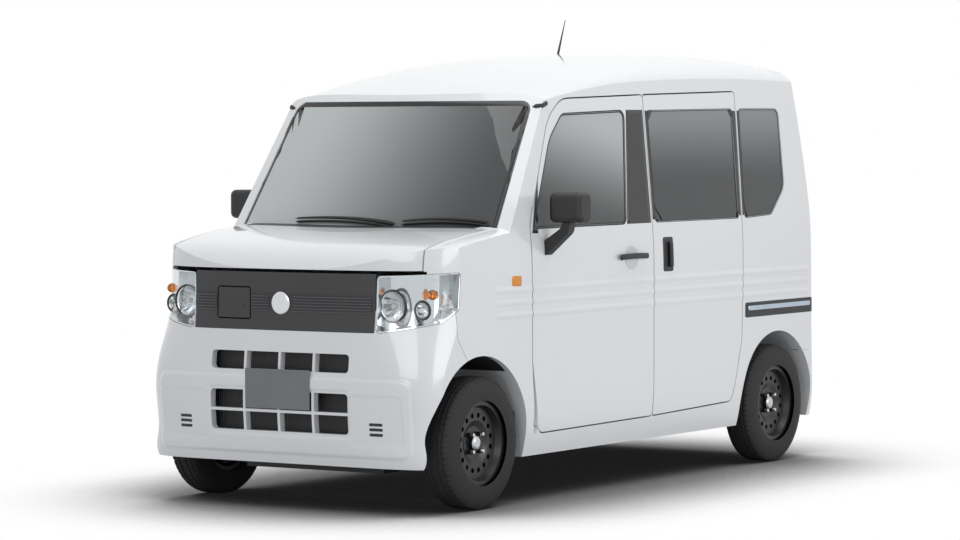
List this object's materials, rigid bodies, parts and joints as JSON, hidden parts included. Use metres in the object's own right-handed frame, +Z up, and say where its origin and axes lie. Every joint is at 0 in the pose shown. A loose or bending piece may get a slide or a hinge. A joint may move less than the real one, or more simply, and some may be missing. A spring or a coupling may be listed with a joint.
{
  "type": "kei electric delivery van",
  "caption": "Small tall white electric delivery van with hinged front doors, hood, tailgate and charge lid, steered front wheels, turning wheels and a hollow cabin.",
  "frame": {"origin": "on the ground under the middle of the overall length and width", "axes": "+X to the nose, +Y to the vehicle's left, +Z up"},
  "size_m": [3.395, 1.86, 2.0821],
  "materials": {
    "paint_white": "gloss",
    "glass_clear": "gloss",
    "glass_dark": "gloss",
    "trim_black": "matte",
    "lens": "gloss",
    "lamp_inside": "gloss",
    "lamp_red": "gloss",
    "panel_white": "gloss",
    "port_grey": "matte",
    "grille_grey": "satin",
    "plate_grey": "satin",
    "tyre": "matte",
    "wheel_black": "satin",
    "underbody": "satin",
    "drive_metal": "satin",
    "liner": "matte",
    "pack_case": "satin",
    "dash_grey": "matte",
    "wheel_rim_black": "matte",
    "seat_frame": "satin",
    "seat_cloth": "matte",
    "inner_paint": "satin"
  },
  "bodies": {
    "van_body": {"sliding_doors": "paint_white", "wings": "paint_white", "side_frames": "paint_white", "headlamps": "lamp_inside", "headlamp_lenses": "lens", "tail_lamps": "lamp_red", "side_glass": "glass_dark", "windscreen": "glass_clear", "grille_panel": "grille_grey", "charge_port": "port_grey", "front_bumper": "panel_white", "rear_bumper": "panel_white", "roof_panel": "paint_white", "bulkhead": "inner_paint", "cowl": "trim_black", "front_plate": "plate_grey", "front_frame": "underbody", "drive_unit": "drive_metal", "floor": "inner_paint", "front_liners": "liner", "battery_pack": "pack_case", "rear_axle": "underbody", "dashboard": "dash_grey", "seat_bases": "seat_frame", "seat_cushions": "seat_cloth", "seat_backs": "seat_cloth", "antenna": "trim_black"},
    "door_left": {"door_left": "paint_white", "door_glass_left": "glass_clear", "mirror_left": "trim_black"},
    "door_right": {"door_right": "paint_white", "door_glass_right": "glass_clear", "mirror_right": "trim_black"},
    "hood": {"hood": "paint_white"},
    "tailgate": {"tailgate": "paint_white", "tailgate_glass": "glass_dark", "rear_plate": "plate_grey"},
    "charge_lid": {"charge_lid": "grille_grey"},
    "knuckle_left": {"knuckle_left": "underbody"},
    "knuckle_right": {"knuckle_right": "underbody"},
    "steering_wheel": {"steering_wheel": "wheel_rim_black"},
    "wheel_front_left": {"tyre_front_left": "tyre", "rim_front_left": "wheel_black"},
    "wheel_front_right": {"tyre_front_right": "tyre", "rim_front_right": "wheel_black"},
    "wheel_rear_left": {"tyre_rear_left": "tyre", "rim_rear_left": "wheel_black"},
    "wheel_rear_right": {"tyre_rear_right": "tyre", "rim_rear_right": "wheel_black"}
  },
  "joints": [
    {"name": "door_left_hinge", "type": "hinge", "parent": "van_body", "child": "door_left", "pos_m": [0.84, 0.717, 0.765], "axis": [0, 0, -1], "range_deg": [0, 70]},
    {"name": "door_right_hinge", "type": "hinge", "parent": "van_body", "child": "door_right", "pos_m": [0.84, -0.717, 0.765], "axis": [0, 0, 1], "range_deg": [0, 70]},
    {"name": "hood_hinge", "type": "hinge", "parent": "van_body", "child": "hood", "pos_m": [1.098, 0, 1.153], "axis": [0, -1, 0], "range_deg": [0, 45]},
    {"name": "tailgate_hinge", "type": "hinge", "parent": "van_body", "child": "tailgate", "pos_m": [-1.462, 0, 1.88723], "axis": [0, 1, 0], "range_deg": [0, 90]},
    {"name": "charge_lid_hinge", "type": "hinge", "parent": "van_body", "child": "charge_lid", "pos_m": [1.65865, -0.3265, 0.7905], "axis": [0.0313, 0, -0.9995], "range_deg": [0, 95]},
    {"name": "steer_left", "type": "hinge", "parent": "van_body", "child": "knuckle_left", "pos_m": [1.2435, 0.6, 0.185], "axis": [0, -0.173, 0.9849], "range_deg": [-37, 37]},
    {"name": "steer_right", "type": "hinge", "parent": "van_body", "child": "knuckle_right", "pos_m": [1.2435, -0.6, 0.185], "axis": [0, 0.173, 0.9849], "range_deg": [-37, 37]},
    {"name": "steering_wheel_turn", "type": "hinge", "parent": "van_body", "child": "steering_wheel", "pos_m": [0.64, -0.33, 0.985], "axis": [-0.788, 0, 0.6157], "range_deg": [-560, 560]},
    {"name": "wheel_front_left_spin", "type": "hinge", "parent": "knuckle_left", "child": "wheel_front_left", "pos_m": [1.2435, 0.655, 0.278], "axis": [0, 1, 0], "continuous": true},
    {"name": "wheel_front_right_spin", "type": "hinge", "parent": "knuckle_right", "child": "wheel_front_right", "pos_m": [1.2435, -0.655, 0.278], "axis": [0, 1, 0], "continuous": true},
    {"name": "wheel_rear_left_spin", "type": "hinge", "parent": "van_body", "child": "wheel_rear_left", "pos_m": [-1.2765, 0.655, 0.278], "axis": [0, 1, 0], "continuous": true},
    {"name": "wheel_rear_right_spin", "type": "hinge", "parent": "van_body", "child": "wheel_rear_right", "pos_m": [-1.2765, -0.655, 0.278], "axis": [0, 1, 0], "continuous": true}
  ],
  "couplings": [
    {"joint": "steer_right", "follows": "steer_left", "ratio": 1},
    {"joint": "steering_wheel_turn", "follows": "steer_left", "ratio": 15}
  ]
}
